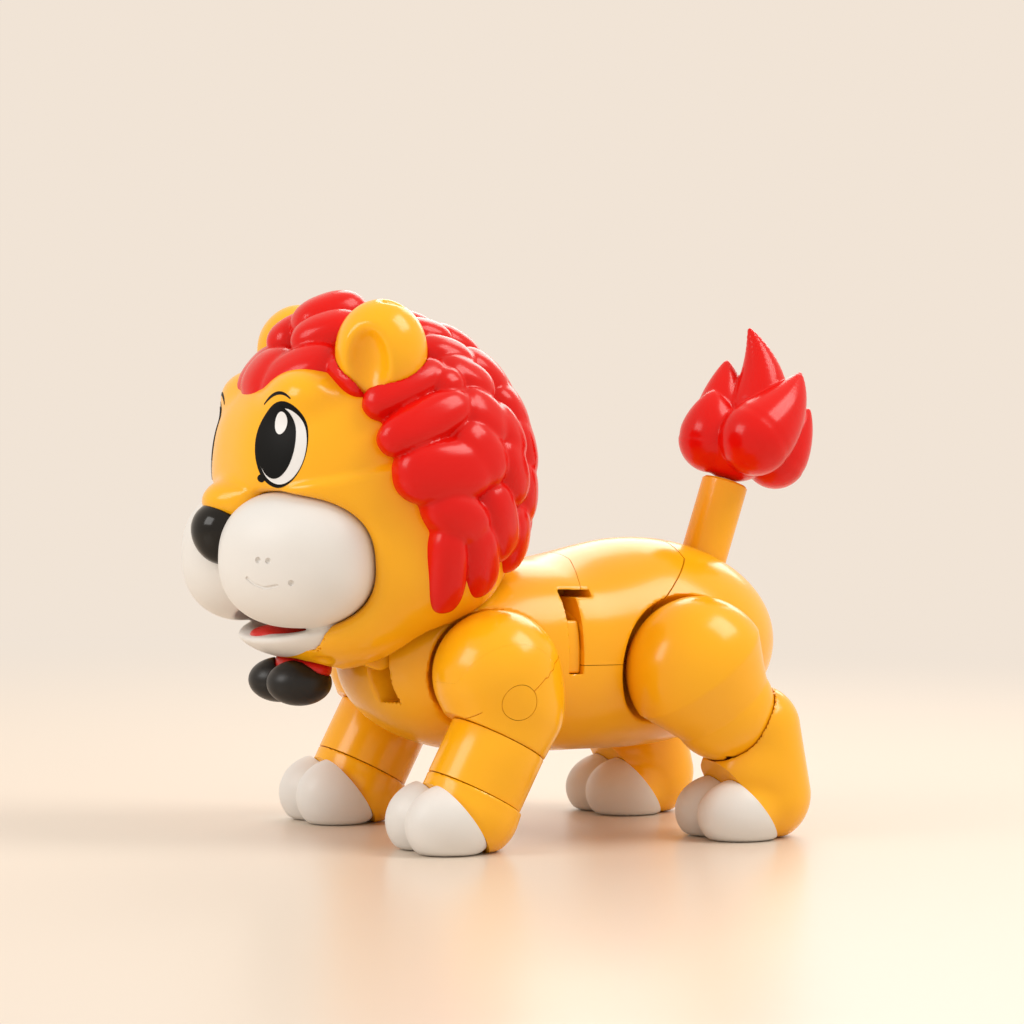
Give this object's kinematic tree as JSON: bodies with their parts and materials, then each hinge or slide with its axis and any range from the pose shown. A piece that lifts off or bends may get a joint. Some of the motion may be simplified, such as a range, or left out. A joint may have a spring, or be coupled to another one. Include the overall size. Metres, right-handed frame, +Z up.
{
  "type": "posable toy lion",
  "caption": "Standing hard-plastic toy lion with hinged legs, turning forearms, nodding head, folded helmet under the chin, side latches and a turning tail.",
  "frame": {"origin": "on the floor under the middle of the lion, between its four soles", "axes": "+Z up, -Y the way the lion faces, +X its left side"},
  "size_m": [0.0919, 0.1641, 0.1286],
  "materials": {
    "yellow_plastic": "glossy golden-yellow moulded plastic",
    "red_plastic": "glossy red moulded plastic",
    "white_plastic": "satin white moulded plastic",
    "black_gloss": "glossy black plastic",
    "black_satin": "satin black plastic",
    "red_satin": "satin red-orange plastic",
    "grey_plastic": "matt grey inner plastic",
    "washer_rubber": "black friction rubber",
    "pin_steel": "plain steel pins and screws"
  },
  "bodies": {
    "torso": {"chest_shell": "yellow_plastic", "saddle_shell": "yellow_plastic", "rump_cover": "yellow_plastic", "spine_frame": "grey_plastic", "shoulder_axle": "pin_steel", "hip_axle": "pin_steel", "shoulder_washer_left": "washer_rubber", "shoulder_washer_right": "washer_rubber", "hip_washer_left": "washer_rubber", "hip_washer_right": "washer_rubber", "belly_screw_front": "pin_steel", "belly_screw_rear": "pin_steel"},
    "latch_left": {"side_latch_left": "yellow_plastic"},
    "latch_right": {"side_latch_right": "yellow_plastic"},
    "head": {"neck_yoke": "yellow_plastic", "face_shell": "yellow_plastic", "muzzle": "white_plastic", "nose": "black_gloss", "tongue": "red_satin", "ear_left": "yellow_plastic", "ear_right": "yellow_plastic", "mane": "red_plastic", "mane_screw_left": "pin_steel", "mane_screw_right": "pin_steel", "helmet_pin": "pin_steel"},
    "folded_helmet": {"helmet": "black_satin", "helmet_band": "red_satin"},
    "arm_left": {"upper_arm_left": "yellow_plastic", "elbow_pin_left": "yellow_plastic"},
    "arm_right": {"upper_arm_right": "yellow_plastic", "elbow_pin_right": "yellow_plastic"},
    "knuckle_left": {"elbow_knuckle_left": "yellow_plastic"},
    "knuckle_right": {"elbow_knuckle_right": "yellow_plastic"},
    "front_foot_left": {"forearm_left": "yellow_plastic", "front_paw_left": "yellow_plastic", "front_toes_left": "white_plastic"},
    "front_foot_right": {"forearm_right": "yellow_plastic", "front_paw_right": "yellow_plastic", "front_toes_right": "white_plastic"},
    "thigh_body_left": {"thigh_left": "yellow_plastic", "knee_pin_left": "pin_steel"},
    "thigh_body_right": {"thigh_right": "yellow_plastic", "knee_pin_right": "pin_steel"},
    "hind_foot_left": {"shin_left": "yellow_plastic", "hind_toes_left": "white_plastic"},
    "hind_foot_right": {"shin_right": "yellow_plastic", "hind_toes_right": "white_plastic"},
    "tail": {"tail_rod": "yellow_plastic", "tail_collar": "grey_plastic", "tail_tuft": "red_plastic"}
  },
  "joints": [
    {"name": "head_nod", "type": "hinge", "parent": "torso", "child": "head", "pos_m": [0, -0.024, 0.05], "axis": [1, 0, 0], "range_deg": [-7, 7]},
    {"name": "helmet_fold", "type": "hinge", "parent": "head", "child": "folded_helmet", "pos_m": [0, -0.051, 0.0445], "axis": [1, 0, 0], "range_deg": [0, 20]},
    {"name": "latch_slide_left", "type": "slide", "parent": "torso", "child": "latch_left", "axis": [0, 0, 1], "range_m": [0, 0.005]},
    {"name": "latch_slide_right", "type": "slide", "parent": "torso", "child": "latch_right", "axis": [0, 0, 1], "range_m": [0, 0.005]},
    {"name": "shoulder_left", "type": "hinge", "parent": "torso", "child": "arm_left", "pos_m": [0.031, -0.0184, 0.0405], "axis": [1, 0, 0], "range_deg": [-15, 10]},
    {"name": "shoulder_right", "type": "hinge", "parent": "torso", "child": "arm_right", "pos_m": [-0.031, -0.0184, 0.0405], "axis": [1, 0, 0], "range_deg": [-15, 10]},
    {"name": "elbow_left", "type": "hinge", "parent": "arm_left", "child": "knuckle_left", "pos_m": [0.031, -0.0192, 0.035], "axis": [1, 0, 0], "range_deg": [-18, 10]},
    {"name": "elbow_right", "type": "hinge", "parent": "arm_right", "child": "knuckle_right", "pos_m": [-0.031, -0.0192, 0.035], "axis": [1, 0, 0], "range_deg": [-18, 10]},
    {"name": "forearm_swivel_left", "type": "hinge", "parent": "knuckle_left", "child": "front_foot_left", "pos_m": [0.0325, -0.0185, 0.0255], "axis": [0, -0.4478, -0.8942], "range_deg": [-25, 25]},
    {"name": "forearm_swivel_right", "type": "hinge", "parent": "knuckle_right", "child": "front_foot_right", "pos_m": [-0.0325, -0.0185, 0.0255], "axis": [0, -0.4478, -0.8942], "range_deg": [-25, 25]},
    {"name": "hip_left", "type": "hinge", "parent": "torso", "child": "thigh_body_left", "pos_m": [0.031, 0.035, 0.0405], "axis": [1, 0, 0], "range_deg": [-12, 12]},
    {"name": "hip_right", "type": "hinge", "parent": "torso", "child": "thigh_body_right", "pos_m": [-0.031, 0.035, 0.0405], "axis": [1, 0, 0], "range_deg": [-12, 12]},
    {"name": "knee_left", "type": "hinge", "parent": "thigh_body_left", "child": "hind_foot_left", "pos_m": [0.031, 0.0418, 0.0318], "axis": [1, 0, 0], "range_deg": [-14, 14]},
    {"name": "knee_right", "type": "hinge", "parent": "thigh_body_right", "child": "hind_foot_right", "pos_m": [-0.031, 0.0418, 0.0318], "axis": [1, 0, 0], "range_deg": [-14, 14]},
    {"name": "tail_turn", "type": "hinge", "parent": "torso", "child": "tail", "pos_m": [0, 0.0542, 0.0695], "axis": [0, 0.299, 0.9542], "range_deg": [-90, 90]}
  ]
}
